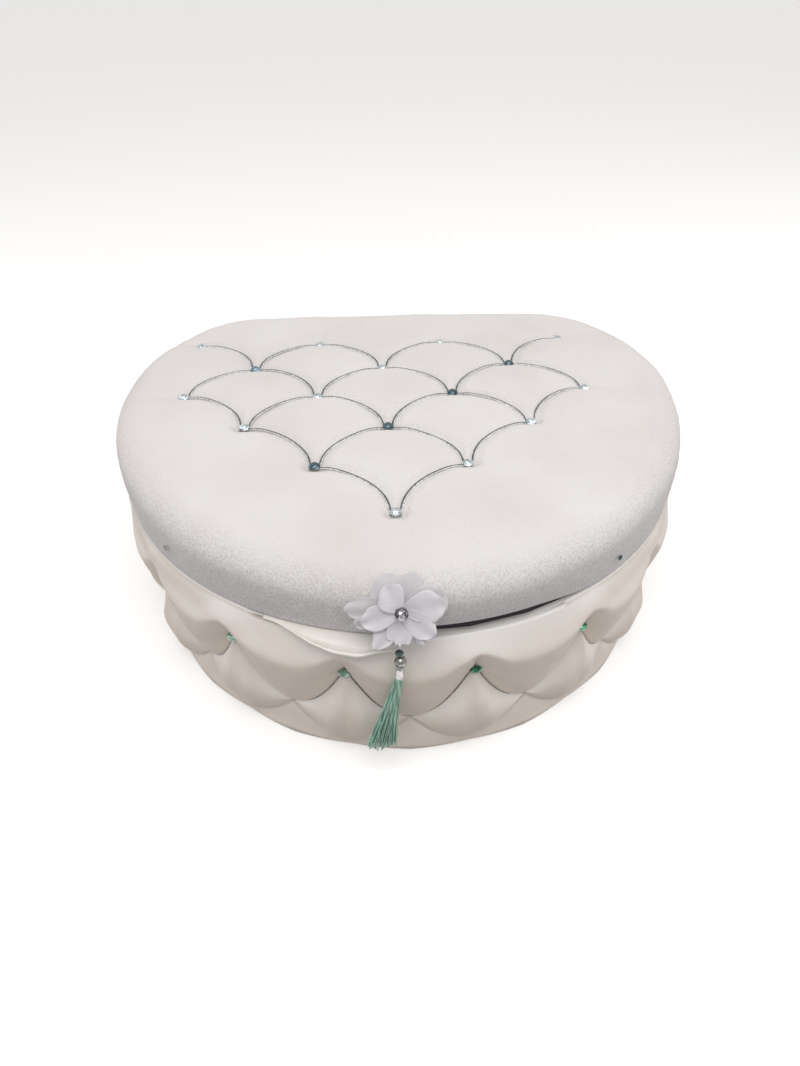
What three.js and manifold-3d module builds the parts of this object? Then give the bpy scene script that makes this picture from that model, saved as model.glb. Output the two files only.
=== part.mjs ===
// Velvet henna box: a D-shaped card box padded in tufted velvet, with a padded lid that lifts off.
// Millimetres, +Z up. The front is -Y, the flat back is +Y, and the origin is the middle of the underside.
import * as THREE from 'three';
import { mergeVertices } from 'three/addons/utils/BufferGeometryUtils.js';
import Module from 'manifold-3d';

const wasm = await Module();
wasm.setup();

// Plan outline of the lid's velvet, which every inset below is measured from
const halfWidth = 211;
const frontDepth = 234; // from the widest line to the front, half an ellipse
const cornerWidth = 90; // of each rounded back corner
const cornerDepth = 135; // from the widest line to the straight back

// Heights and walls
const seatHeight = 105.7; // the ledge of velvet that the lid rests on
const rimHeight = 8; // how far the padded rim stands up inside the lid
const bodyWall = 4;
const bodyFloor = 4;
const lidWall = 3;
const lidWallHeight = 28;
const lidCrown = 25; // velvet and foam above the lid board, at the middle
const liningThickness = 1;
const clearance = 0.3; // between pieces that touch
const lidPlay = 1.3; // between the lid's lining and the padded rim

// Velvet pads
const lidSidePad = 4;
const padGap = 0.8; // between the lid's card and the pad glued over it
const rimPad = 6;
const hemTuck = 2.8; // how far the lid's lower edge is pulled in
const edgeRound = 22; // width of the lid's rounded shoulder
const shoulderDrop = 20; // its height
const domeReach = 100; // distance from the crown of the lid's dome at which its falls are measured
const domeFallAcross = 0.8; // its fall there to the side
const domeFallFront = 4; // and to the front
const domeFallBack = 0.8; // and to the back
const domeCrownY = 15;
const hemLift = 5.5; // bare card that shows under the velvet at the right of the front
const hemRiseFrom = -6; // where the bare card begins to show, along the outline from its front middle
const hemRiseTo = 10;
const hemFallFrom = 75; // where it begins to narrow again
const hemFallTo = 135;
const rollBulge = 7; // how far the body's upper roll stands out past the lid
const rollDrop = 14; // from the seat down to its fullest line
const rollTopDrop = 8; // from the seat down to where the tufting starts
const seatEdge = 2; // rounding of the seat's outer edge
const footInset = 7;
const footGap = 0.8; // the velvet ends this far above the ground
const footTurn = 1.5; // rounding of its lower edge
const sideNarrow = 6.5; // how much further in the body's velvet stands at its left and right than at its front

// Tufting of the body
const tuftCount = 16; // scallops around the whole outline
const upperButtonCount = 12; // with a stone each, centred on the front
const tuftTopDrop = 32.7; // from the seat down to the upper buttons
const tuftRow = 43; // from one row of buttons to the next
const lowerFoldDrop = 24; // how far the folds below the lower buttons hang down
const creaseDepth = 7;
const creaseReach = 9;
const buttonDepth = 2;
const buttonReach = 14;

// Fish-scale quilting of the lid
const scaleWidth = 100;
const scaleRow = 47;
const scaleBulge = 0.8; // of its arcs: 0 is straight, 1 is a quarter ellipse
const scaleRows = [1, 2, 3, 4, 3, 4]; // stones in each row, from the front
const patternShift = -6; // the pattern's middle line
const patternFront = 63; // from the lid's front edge to the first stone
const backShift = -7; // how far the last row is shifted to the side of that line
const rowBow = 3.5; // how far back a stone lies from its row, one scale away from the pattern's middle line
const grooveDepth = 4.5;
const grooveHalfWidth = 7;
const cordRadius = 1.2;
const stoneRadius = 4;
const stoneHeight = 2.8;
const bodyStoneRadius = 3.2;
const bodyCordRadius = 0.9;
const stoneGirdle = 0.35; // height of a stone's widest line, as a share of its height
const stoneTable = 0.55; // radius of its flat top, as a share of its radius
const dimpleMargin = 5; // how far a dimple in the velvet reaches past its stone
const cutterOver = 3; // how far the cutters of grooves and dimples stand above the velvet
const studRadius = 2;
const leftStudHeight = 17; // above the lid's rim
const leftStudAlong = -169; // along the outline from its front middle
const rightStudHeight = 14;
const rightStudAlong = 143;

// Flower and tassel
const flowerShift = -5;
const flowerDrop = 30; // from the lid's crown to the flower's middle
const flowerGap = 2.4; // from the lid's front to the flower's middle
const flowerTilt = 0.45; // how far it leans back, in radians
const flowerBend = 0.78; // how much more the end of its upper petals leans back, over the lid's shoulder
const petalThickness = 0.8;
const petalCup = 1.6; // how far a petal's sides stand up
const outerPetals = { count: 6, length: 26, halfWidth: 10, base: 1, rise: 3, turn: 0.3 };
const innerPetals = { count: 4, length: 19, halfWidth: 9, base: 3.2, rise: 5.5, turn: 0.9 };
const flowerBeadRadius = 4;
const collarDrop = 66.5; // from the lid's crown to the tassel's collar
const threadDrop = 12; // from the flower's middle to the top of the thread
const threadRadius = 0.5;
const tasselLength = 61;
const tasselLean = 12;
const tasselSpread = 9.5;
const tasselStoneRadius = 2.6;
const tasselStoneHeight = 2.4;
const tasselBeadRadius = 3.6;
const tasselBeadLength = 9;
const collarLength = 7;
const collarRadius = 2.6;

// Satin that has slipped out under the lid's edge, measured along the outline from its front middle
const satinFrom = -90;
const satinTo = -12;
const satinDrop = 9;
const satinEndDrop = 3; // at its two ends

// Places that follow from the sizes above
const widestY = (frontDepth - cornerDepth) / 2;
const frontY = widestY - frontDepth;
const cornerX = halfWidth - cornerWidth;
const lidRim = seatHeight + clearance;
const lidShellInset = lidSidePad;
const lidLiningInset = lidShellInset + lidWall + clearance;
const rimInset = lidLiningInset + liningThickness + lidPlay;
const bodyShellInset = rimInset + rimPad + clearance;
const bodyRim = seatHeight + rimHeight;
const lidBoardTop = lidRim + lidWallHeight;
const lidTop = lidBoardTop + clearance + lidCrown;
const upperButtons = seatHeight - tuftTopDrop;
const lowerButtons = upperButtons - tuftRow;

const outline = new THREE.CurvePath();
outline.add(new THREE.EllipseCurve(0, widestY, halfWidth, frontDepth, -Math.PI / 2, 0));
outline.add(new THREE.EllipseCurve(cornerX, widestY, cornerWidth, cornerDepth, 0, Math.PI / 2));
outline.add(new THREE.LineCurve(
  new THREE.Vector2(cornerX, widestY + cornerDepth),
  new THREE.Vector2(-cornerX, widestY + cornerDepth),
));
outline.add(new THREE.EllipseCurve(-cornerX, widestY, cornerWidth, cornerDepth, Math.PI / 2, Math.PI));
outline.add(new THREE.EllipseCurve(0, widestY, halfWidth, frontDepth, Math.PI, Math.PI * 1.5));
const outlineLength = outline.getLength();
const tuftPitch = outlineLength / tuftCount;
const lastButton = (upperButtonCount - 1) / 2; // in pitches from the front middle
const backCorner = outlineLength / 2 - cornerX; // along the outline, where the straight back begins

// Colours and finishes
function finish(color, roughness, metalness = 0) {
  return new THREE.MeshStandardMaterial({ color, roughness, metalness });
}
const velvet = finish(0xe2dbd6, 0.85);
const satin = finish(0xf0ece6, 0.35);
const blackCard = finish(0x1e1c20, 0.8);
const silverCord = finish(0xb9bcc0, 0.35, 0.8);
const crystal = finish(0xd8e6ea, 0.08);
const greenCrystal = finish(0x2f7a63, 0.1);
const organza = finish(0xe9e7f2, 0.5);
const silverBead = finish(0xc8c8cc, 0.15, 1);
const mintSilk = finish(0x8fb8a4, 0.45);

const parts = new THREE.Group();

function addPart(name, geometry, material) {
  const mesh = new THREE.Mesh(geometry, material);
  mesh.name = name;
  parts.add(mesh);
  return mesh;
}

// A point beside the outline: along it from the front middle, inside it by the inset, and at a height.
function outlineNormal(along) {
  const turn = THREE.MathUtils.euclideanModulo(along, outlineLength) / outlineLength;
  const tangent = outline.getTangent(turn);
  return new THREE.Vector3(tangent.y, -tangent.x, 0);
}

function outlinePoint(along, inset, height) {
  const turn = THREE.MathUtils.euclideanModulo(along, outlineLength) / outlineLength;
  const edge = outline.getPoint(turn);
  return new THREE.Vector3(edge.x, edge.y, height).addScaledVector(outlineNormal(along), -inset);
}

// Places along the outline at equal turns of each quarter, so that its tight corners get short steps.
function outlineColumns(quarterSteps) {
  const columns = [];
  let start = 0;
  for (const curve of outline.curves) {
    const lengths = curve.getLengths();
    const steps = curve.isLineCurve ? 1 : quarterSteps;
    for (let step = 0; step < steps; step += 1) {
      columns.push(start + lengths[Math.round((step / steps) * (lengths.length - 1))]);
    }
    start += curve.getLength();
  }
  return columns;
}

function levelRing(columns, inset, height) {
  return columns.map((along) => outlinePoint(along, inset, height));
}

// Triangles that close the end of a loft: a fan round a new middle point, or for a thin ring a strip across it.
function fanTriangles(ring, points) {
  const middle = points.length;
  const total = ring.reduce((sum, vertex) => sum.add(points[vertex]), new THREE.Vector3());
  points.push(total.divideScalar(ring.length));
  return ring.map((vertex, place) => [middle, vertex, ring[(place + 1) % ring.length]]);
}

function stripTriangles(ring) {
  const triangles = [];
  for (let low = 0, high = ring.length - 1; low + 1 < high; low += 1, high -= 1) {
    triangles.push([ring[low], ring[low + 1], ring[high - 1]]);
    triangles.push([ring[low], ring[high - 1], ring[high]]);
  }
  return triangles.filter(([a, b, c]) => a !== b && b !== c);
}

// A closed solid through a stack of rings that run anticlockwise about the way they are stacked.
// Its ends are closed by fans or strips, or joined to each other for a ring-shaped piece.
function loft(rings, ends = 'fans') {
  const count = rings[0].length;
  const points = rings.flat();
  const triangles = [];
  const bands = ends === 'joined' ? rings.length : rings.length - 1;
  for (let band = 0; band < bands; band += 1) {
    const here = band * count;
    const next = ((band + 1) % rings.length) * count;
    for (let column = 0; column < count; column += 1) {
      const beside = (column + 1) % count;
      triangles.push([here + column, here + beside, next + beside]);
      triangles.push([here + column, next + beside, next + column]);
    }
  }
  if (ends !== 'joined') {
    const close = ends === 'fans' ? fanTriangles : stripTriangles;
    const first = Array.from({ length: count }, (_, column) => column);
    const last = first.map((column) => column + (rings.length - 1) * count);
    triangles.push(...close(first, points).map(([a, b, c]) => [a, c, b]));
    triangles.push(...close(last, points));
  }
  const geometry = new THREE.BufferGeometry().setFromPoints(points);
  geometry.setIndex(triangles.flat());
  return geometry;
}

// The same section carried along a path and kept upright: its first axis is level, its second points up.
function sweep(path, section) {
  const up = new THREE.Vector3(0, 0, 1);
  const rings = path.map((point, step) => {
    const before = path[Math.max(step - 1, 0)];
    const after = path[Math.min(step + 1, path.length - 1)];
    const ahead = after.clone().sub(before).normalize();
    const side = up.clone().cross(ahead).normalize();
    const top = ahead.clone().cross(side);
    return section.map(([across, rise]) => point.clone().addScaledVector(side, across).addScaledVector(top, rise));
  });
  return loft(rings);
}

function regularSection(radius, sides) {
  return Array.from({ length: sides }, (_, corner) => {
    const angle = ((corner + 0.5) / sides) * Math.PI * 2;
    return [Math.cos(angle) * radius, Math.sin(angle) * radius];
  });
}

// Joining and cutting of closed solids
function toManifold(geometry) {
  const bare = geometry.clone();
  bare.deleteAttribute('normal');
  bare.deleteAttribute('uv');
  const merged = mergeVertices(bare, 1e-4);
  return new wasm.Manifold(new wasm.Mesh({
    numProp: 3,
    vertProperties: new Float32Array(merged.attributes.position.array),
    triVerts: new Uint32Array(merged.index.array),
  }));
}

// Edges too short to matter, which cuts leave where pieces nearly touch, are drawn together into one point.
function withoutShortEdges(positions, triangles) {
  const shortest = 0.02;
  const kept = Array.from({ length: positions.length / 3 }, (_, vertex) => vertex);
  const keptBy = (vertex) => (kept[vertex] === vertex ? vertex : keptBy(kept[vertex]));
  const point = (vertex) => new THREE.Vector3().fromArray(positions, vertex * 3);
  for (let corner = 0; corner < triangles.length; corner += 1) {
    const next = corner % 3 === 2 ? corner - 2 : corner + 1;
    const [one, other] = [keptBy(triangles[corner]), keptBy(triangles[next])];
    if (one !== other && point(one).distanceTo(point(other)) < shortest) kept[other] = one;
  }
  const corners = Array.from(triangles, keptBy);
  return corners.filter((_, corner) => {
    const [a, b, c] = corners.slice(corner - (corner % 3), corner - (corner % 3) + 3);
    return a !== b && b !== c && c !== a;
  });
}

function fromManifold(solid) {
  const mesh = solid.getMesh();
  const geometry = new THREE.BufferGeometry();
  geometry.setAttribute('position', new THREE.BufferAttribute(new Float32Array(mesh.vertProperties), 3));
  geometry.setIndex(withoutShortEdges(mesh.vertProperties, mesh.triVerts));
  return geometry;
}

function join(geometries) {
  return geometries.map(toManifold).reduce((whole, piece) => whole.add(piece));
}

function interpolate(profile, at) {
  if (at >= profile[0][0]) return profile[0][1];
  const lower = profile.findIndex(([key]) => key <= at);
  if (lower < 0) return profile.at(-1)[1];
  const [highKey, highValue] = profile[lower - 1];
  const [lowKey, lowValue] = profile[lower];
  return THREE.MathUtils.mapLinear(at, lowKey, highKey, lowValue, highValue);
}

// Half of a scallop: 1 over its middle, falling to 0 at its ends, where it stands upright.
function scallop(share) {
  const away = Math.min(Math.abs(share), 1);
  return scaleBulge * Math.sqrt(1 - away * away) + (1 - scaleBulge) * (1 - away);
}

// A fold that hangs between two buttons: 1 at its lowest, falling to 0 at its ends.
function sag(share) {
  return 1 - Math.min(Math.abs(share), 1) ** 2;
}

// Card box and its satin
const board = outlineColumns(9);

function cup(columns, inset, wall, low, high, floor) {
  return loft([
    levelRing(columns, inset, low),
    levelRing(columns, inset, high),
    levelRing(columns, inset + wall, high),
    levelRing(columns, inset + wall, low + floor),
  ]);
}

function cap(columns, inset, wall, low, high, board) {
  return loft([
    levelRing(columns, inset + wall, high - board),
    levelRing(columns, inset + wall, low),
    levelRing(columns, inset, low),
    levelRing(columns, inset, high),
  ]);
}

// Tufted velvet round the body. The folds hang in curves from the upper buttons to the lower ones.
function foldHeight(along) {
  const nearest = Math.round(along / tuftPitch) * tuftPitch;
  return upperButtons - tuftRow * sag((along - nearest) / (tuftPitch / 2));
}

function lowerFoldHeight(along) {
  const nearest = (Math.floor(along / tuftPitch) + 0.5) * tuftPitch;
  return lowerButtons - lowerFoldDrop * sag((along - nearest) / (tuftPitch / 2));
}

function tuftFade(along) {
  const away = Math.abs(THREE.MathUtils.euclideanModulo(along + outlineLength / 2, outlineLength) - outlineLength / 2);
  return 1 - THREE.MathUtils.smoothstep(away, backCorner - tuftPitch / 2, backCorner + tuftPitch / 8);
}

function foldDistance(along, height) {
  let nearest = Infinity;
  const reach = tuftPitch / 2;
  for (let step = -24; step <= 24; step += 1) {
    const place = along + (step / 24) * reach;
    for (const fold of [foldHeight(place), lowerFoldHeight(place)]) {
      nearest = Math.min(nearest, Math.hypot(place - along, fold - height));
    }
  }
  return nearest;
}

function buttonDistance(along, height) {
  const upper = (Math.floor(along / tuftPitch) + 0.5) * tuftPitch;
  const lower = Math.round(along / tuftPitch) * tuftPitch;
  const toUpper = Math.hypot(along - upper, height - upperButtons);
  const toLower = Math.hypot(along - lower, height - lowerButtons);
  return Math.min(toUpper, toLower);
}

const stepsPerTuft = 6; // of the mesh, along the outline

const bellyProfile = [
  [seatHeight - seatEdge, 0],
  [seatHeight - rollTopDrop, -rollBulge * 0.75],
  [seatHeight - rollDrop, -rollBulge],
  [upperButtons, -rollBulge * 0.75],
  [lowerButtons, -rollBulge * 0.2],
  [footInset, footInset / 2],
  [footGap, footInset],
];

function velvetInset(along, height) {
  const crease = creaseDepth * Math.exp(-foldDistance(along, height) / creaseReach);
  const button = buttonDepth * Math.exp(-((buttonDistance(along, height) / buttonReach) ** 2));
  return interpolate(bellyProfile, height) + sideInset(along) + (crease + button) * tuftFade(along);
}

// The body is a little narrower than the lid: this grows from nothing at its front and back to its full sides.
function sideInset(along) {
  return sideNarrow * outlineNormal(along).x ** 2;
}

function satinShare(along) {
  const share = (along - satinFrom) / (satinTo - satinFrom);
  return share > 0 && share < 1 ? Math.sin(share * Math.PI) : 0;
}

function signedAlong(along) {
  return THREE.MathUtils.euclideanModulo(along + outlineLength / 2, outlineLength) - outlineLength / 2;
}

function bodyPaddingGeometry() {
  const steps = tuftCount * stepsPerTuft;
  const columns = [];
  for (let step = -steps / 2; step < steps / 2; step += 1) {
    const along = (step * tuftPitch) / stepsPerTuft;
    const plain = Math.abs(along) > backCorner + tuftPitch / stepsPerTuft;
    if (!plain || step % 3 === 0) columns.push(along);
  }
  const upperShares = [0, 0.42, 0.8, 1];
  const lowerShares = [0.3, 1];
  const rollTop = seatHeight - rollTopDrop;
  const footTop = footInset;
  const columnGap = tuftPitch / stepsPerTuft;
  const underSatin = (along) => along > satinFrom - columnGap && along < satinTo + columnGap;
  const seatDent = (along) => (underSatin(along) ? liningThickness + clearance : 0);
  const faceHeights = (along) => {
    const fold = THREE.MathUtils.lerp(lowerButtons, foldHeight(along), tuftFade(along));
    const upper = upperShares.map((share) => THREE.MathUtils.lerp(rollTop, fold, share));
    const lower = lowerShares.map((share) => THREE.MathUtils.lerp(fold, footTop, share));
    return [...lower.reverse(), ...upper.reverse()];
  };
  const profiles = columns.map((along) => [
    [footInset + footTurn + sideInset(along), footGap],
    [footInset + sideInset(along), footGap + footTurn],
    ...faceHeights(along).map((height) => [velvetInset(along, height), height]),
    [1, seatHeight - seatEdge - seatDent(along)],
    [lidSidePad, seatHeight - seatDent(along)],
    [rimInset, seatHeight - seatDent(along)],
    [rimInset, bodyRim - 1],
    [bodyShellInset - clearance, bodyRim],
    [bodyShellInset - clearance, footGap],
  ]);
  const rings = profiles[0].map((_, row) => (
    columns.map((along, column) => outlinePoint(along, ...profiles[column][row]))
  ));
  return loft(rings, 'joined');
}

const bodyCordSeat = clearance + bodyCordRadius * 3; // the cord's middle in front of the fold

function cordPathAround() {
  const path = [];
  for (let step = -lastButton * stepsPerTuft; step <= lastButton * stepsPerTuft; step += 1) {
    const along = (step * tuftPitch) / stepsPerTuft;
    const height = foldHeight(along);
    path.push(outlinePoint(along, velvetInset(along, height) - bodyCordSeat, height));
  }
  return path;
}

// Velvet of the lid
function domeHeight(x, y) {
  const across = domeFallAcross * (x / domeReach) ** 2;
  const fall = y < domeCrownY ? domeFallFront : domeFallBack;
  const along = fall * ((y - domeCrownY) / domeReach) ** 2;
  return lidTop - across - along;
}

function hemHeight(along) {
  const place = signedAlong(along);
  const rise = THREE.MathUtils.smoothstep(place, hemRiseFrom, hemRiseTo);
  const fall = 1 - THREE.MathUtils.smoothstep(place, hemFallFrom, hemFallTo);
  return lidRim + hemLift * rise * fall;
}

function lidPaddingGeometry() {
  const columns = outlineColumns(10);
  const shoulderRing = (turn) => columns.map((along) => {
    const top = outlinePoint(along, edgeRound, 0);
    const inset = edgeRound * (1 - Math.sin(turn));
    return outlinePoint(along, inset, domeHeight(top.x, top.y) - shoulderDrop * (1 - Math.cos(turn)));
  });
  const sideRing = (inset, share) => columns.map((along) => {
    const top = outlinePoint(along, edgeRound, 0);
    const shoulder = domeHeight(top.x, top.y) - shoulderDrop;
    return outlinePoint(along, inset, THREE.MathUtils.lerp(hemHeight(along), shoulder, share));
  });
  const domeRing = (share) => columns.map((along) => {
    const edge = outlinePoint(along, edgeRound, 0).multiplyScalar(share);
    edge.y += (1 - share) * domeCrownY;
    edge.z = domeHeight(edge.x, edge.y);
    return edge;
  });
  const innerInset = lidShellInset - padGap;
  const pad = loft([
    levelRing(columns, innerInset, lidBoardTop + clearance),
    sideRing(innerInset, 0),
    sideRing(hemTuck, 0),
    sideRing(hemTuck * 0.3, 0.45),
    shoulderRing(Math.PI / 2),
    shoulderRing(Math.PI * 0.33),
    shoulderRing(Math.PI * 0.16),
    ...[1, 0.85, 0.65, 0.45, 0.2].map(domeRing),
  ]);
  const grooves = join(scaleArcs().map((arc) => grooveCutter(arc)));
  const dimples = join(scaleNodes().map(dimpleCutter));
  return fromManifold(toManifold(pad).subtract(grooves.add(dimples)));
}

// The quilting: stones in staggered rows, each joined by cord to its neighbours in the row behind.
function scaleNodes() {
  return scaleRows.flatMap((count, row) => (
    Array.from({ length: count }, (_, place) => {
      const scalesAway = place - (count - 1) / 2;
      return {
        row,
        x: patternShift + backShift * (row / (scaleRows.length - 1)) + scalesAway * scaleWidth,
        y: frontY + patternFront + row * scaleRow + rowBow * scalesAway ** 2,
      };
    })
  ));
}

function scaleArcs() {
  const nodes = scaleNodes();
  return nodes.flatMap((front) => (
    nodes
      .filter((back) => back.row === front.row + 1 && Math.abs(back.x - front.x) < scaleWidth)
      .map((back) => [front, back])
  ));
}

function arcPath([front, back], depth) {
  const steps = 4;
  return Array.from({ length: steps + 1 }, (_, step) => {
    const angle = (step / steps) * (Math.PI / 2);
    const across = 1 - Math.cos(angle);
    const x = THREE.MathUtils.lerp(front.x, back.x, across);
    const y = THREE.MathUtils.lerp(front.y, back.y, scallop(1 - across));
    return new THREE.Vector3(x, y, domeHeight(x, y) - depth);
  });
}

function grooveCutter(arc) {
  const top = grooveDepth + cutterOver;
  const half = (grooveHalfWidth * top) / grooveDepth;
  return sweep(arcPath(arc, grooveDepth), [[0, 0], [half, top], [-half, top]]);
}

function dimpleCutter({ x, y }) {
  const cone = new THREE.LatheGeometry([
    new THREE.Vector2(0, -grooveDepth),
    new THREE.Vector2(stoneRadius + 1, -grooveDepth),
    new THREE.Vector2(stoneRadius + dimpleMargin + cutterOver, cutterOver),
    new THREE.Vector2(0, cutterOver),
  ], 4);
  cone.rotateX(Math.PI / 2);
  cone.translate(x, y, domeHeight(x, y));
  return cone;
}

const cordSeat = clearance + cordRadius * 1.25; // the cord's middle above the bottom of its groove

// One cord runs from side to side through all the arcs between two rows of stones.
function cordPath(row, depth) {
  const arcs = scaleArcs().filter(([front]) => front.row === row);
  arcs.sort((one, other) => one[0].x + one[1].x - other[0].x - other[1].x);
  return arcs.flatMap((arc, place) => {
    const points = arcPath(arc, depth);
    if (arc[1].x < arc[0].x) points.reverse();
    return place === 0 ? points : points.slice(1);
  });
}

function lidCordsGeometry() {
  const section = regularSection(cordRadius, 4);
  const rows = scaleRows.slice(1).map((_, row) => cordPath(row, grooveDepth - cordSeat));
  return fromManifold(join(rows.map((path) => sweep(path, section))));
}

function stoneGeometry(radius, height, sides) {
  const stone = new THREE.LatheGeometry([
    new THREE.Vector2(0, 0),
    new THREE.Vector2(radius, height * stoneGirdle),
    new THREE.Vector2(radius * stoneTable, height),
    new THREE.Vector2(0, height),
  ], sides);
  stone.rotateX(Math.PI / 2);
  return stone;
}

const upward = new THREE.Vector3(0, 0, 1);
const twoDigits = (number) => String(number).padStart(2, '0');

function addLidStones() {
  scaleNodes().forEach(({ x, y }, index) => {
    const height = domeHeight(x, y) - grooveDepth + cordSeat + cordRadius + clearance;
    const stone = addPart(`lid_stone_${twoDigits(index + 1)}`, stoneGeometry(stoneRadius, stoneHeight, 6), crystal);
    stone.position.set(x, y, height);
  });
}

const bodyStoneSeat = bodyCordSeat + bodyCordRadius + clearance * 6; // its back, in front of the fold

function addBodyStones() {
  let number = 1;
  for (let button = -lastButton; button <= lastButton; button += 1) {
    const along = button * tuftPitch;
    const inset = velvetInset(along, upperButtons) - bodyStoneSeat;
    const geometry = stoneGeometry(bodyStoneRadius, stoneHeight, 6);
    const stone = addPart(`body_stone_${twoDigits(number)}`, geometry, greenCrystal);
    stone.position.copy(outlinePoint(along, inset, upperButtons));
    stone.quaternion.setFromUnitVectors(upward, outlineNormal(along));
    number += 1;
  }
}

function addStud(name, along, height, material) {
  const stud = addPart(name, stoneGeometry(studRadius, studRadius, 6), material);
  stud.position.copy(outlinePoint(along, -clearance, lidRim + height));
  stud.quaternion.setFromUnitVectors(upward, outlineNormal(along));
}

// The fold of satin that has slipped out between the lid and the body's seat, and hangs over the body's roll
function satinFoldGeometry() {
  const steps = 20;
  const under = seatHeight - liningThickness;
  const outer = -rollBulge - clearance * 2;
  const innerEdge = lidLiningInset;
  const rings = Array.from({ length: steps + 1 }, (_, step) => {
    const along = THREE.MathUtils.lerp(satinTo, satinFrom, step / steps);
    const tip = seatHeight - THREE.MathUtils.lerp(satinEndDrop, satinDrop, satinShare(along));
    const path = [
      [innerEdge, under],
      [lidSidePad - 1, under],
      [-1, under - seatEdge],
      [outer + clearance * 2 * (1 - satinShare(along)), tip],
      [outer - liningThickness, tip],
      [outer - liningThickness / 2, under - seatEdge + clearance],
      [lidSidePad - 1, seatHeight],
      [innerEdge, seatHeight],
    ];
    return path.map(([inset, height]) => outlinePoint(along, inset, height));
  });
  return loft(rings, 'strips');
}

// Organza flower: thin petals that spread from the middle, fused where they overlap
const flowerMiddle = new THREE.Vector3(flowerShift, frontY - flowerGap, lidTop - flowerDrop);

// A point of the flower: out from its middle along an angle, to the side of that, and lifted towards its front.
// Below its middle the flower is flat, and above it bends back evenly.
function flowerPoint(angle, reach, across, lift) {
  const side = Math.cos(angle) * reach - Math.sin(angle) * across;
  const up = Math.sin(angle) * reach + Math.cos(angle) * across;
  const bend = flowerBend * (Math.max(up, 0) / outerPetals.length);
  const way = flowerTilt + bend / 2; // of the straight line from the middle
  const facing = flowerTilt + bend; // of the flower there
  return new THREE.Vector3(side, up * Math.sin(way), up * Math.cos(way))
    .add(new THREE.Vector3(0, -lift * Math.cos(facing), lift * Math.sin(facing)))
    .add(flowerMiddle);
}

function petalGeometry(angle, { length, halfWidth: half, base, rise }) {
  const start = -0.08; // just past the middle, so that the petals cross there
  const rings = [start, 0.4, 0.75, 1].map((share) => {
    const side = half * Math.max(0.25, Math.sin(Math.PI * (0.1 + 0.8 * share)) ** 0.8);
    const lift = base + rise * share * share;
    const cup = petalCup * share * share;
    const lower = [-1, 0, 1].map((edge) => (
      flowerPoint(angle, length * share, side * edge, lift + cup * edge * edge)
    ));
    const upper = [1, 0, -1].map((edge) => (
      flowerPoint(angle, length * share, side * edge, lift + cup * edge * edge + petalThickness)
    ));
    return [...lower, ...upper];
  });
  return loft(rings, 'strips');
}

function petalLayer(petals) {
  return fromManifold(join(Array.from({ length: petals.count }, (_, petal) => (
    petalGeometry(petals.turn + (petal / petals.count) * Math.PI * 2, petals)
  ))));
}

// Tassel in front of the body: stone, bead, collar and silk skirt on one thread
const tasselPlaneY = frontY - rollBulge - tasselBeadRadius - clearance * 4; // its beads hang in this plane
const tasselX = flowerShift - 1;

function addTassel() {
  const threadY = tasselPlaneY + tasselBeadRadius + clearance + threadRadius;
  const collarTop = lidTop - collarDrop;
  const beadMiddle = collarTop + clearance + tasselBeadLength / 2;
  const stoneMiddle = beadMiddle + tasselBeadLength / 2 + tasselStoneRadius + clearance;
  const stone = addPart('tassel_stone', stoneGeometry(tasselStoneRadius, tasselStoneHeight, 8), greenCrystal);
  stone.position.set(tasselX - 0.5, tasselPlaneY + 1, stoneMiddle);
  stone.quaternion.setFromUnitVectors(upward, new THREE.Vector3(0, -1, 0));

  const half = tasselBeadLength / 2;
  const beadProfile = [-1, -0.6, 0, 0.6, 1].map((share) => (
    new THREE.Vector2(tasselBeadRadius * Math.sqrt(1 - share * share), share * half)
  ));
  const bead = addPart('tassel_bead', new THREE.LatheGeometry(beadProfile, 8).rotateX(Math.PI / 2), silverBead);
  bead.position.set(tasselX, tasselPlaneY, beadMiddle);

  const collarProfile = [
    [0, -collarLength], [collarRadius, -collarLength], [collarRadius * 0.8, -collarLength * 0.5],
    [collarRadius, -collarLength * 0.15], [collarRadius * 0.7, 0], [0, 0],
  ].map(([radius, height]) => new THREE.Vector2(radius, height));
  const collar = addPart('tassel_collar', new THREE.LatheGeometry(collarProfile, 8).rotateX(Math.PI / 2), silverCord);
  collar.position.set(tasselX - 0.5, tasselPlaneY, collarTop);

  const threadTop = lidTop - flowerDrop - threadDrop;
  const thread = [threadTop, collarTop + clearance].map((height) => new THREE.Vector3(tasselX, threadY, height));
  addPart('tassel_thread', loft([thread[1], thread[0]].map((end) => (
    regularSection(threadRadius, 5).map(([x, y]) => new THREE.Vector3(end.x + x, end.y + y, end.z))
  ))), silverCord);

  const skirtTop = collarTop - collarLength - clearance;
  const strands = 16;
  const rings = [1, 0.8, 0.55, 0.3, 0.12, 0].map((share) => {
    const down = 1 - share;
    const spread = collarRadius + (tasselSpread - collarRadius) * down ** 1.2;
    const depth = collarRadius * (1 + down * 0.6);
    return Array.from({ length: strands }, (_, strand) => {
      const angle = (strand / strands) * Math.PI * 2;
      const ridge = strand % 2 === 0 ? 1 : 0.86;
      return new THREE.Vector3(
        tasselX - 0.5 - tasselLean * down + Math.cos(angle) * spread * ridge,
        tasselPlaneY + Math.sin(angle) * depth * ridge,
        skirtTop - tasselLength * down,
      );
    });
  });
  addPart('tassel_skirt', loft(rings.reverse()), mintSilk);
}

addPart('body_shell', cup(board, bodyShellInset, bodyWall, 0, bodyRim, bodyFloor), blackCard);
addPart('body_lining', cup(
  board,
  bodyShellInset + bodyWall + clearance,
  liningThickness,
  bodyFloor + clearance,
  bodyRim,
  liningThickness,
), satin);
addPart('body_padding', bodyPaddingGeometry(), velvet);
addPart('body_cord', sweep(cordPathAround(), regularSection(bodyCordRadius, 4)), silverCord);
addBodyStones();

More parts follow.
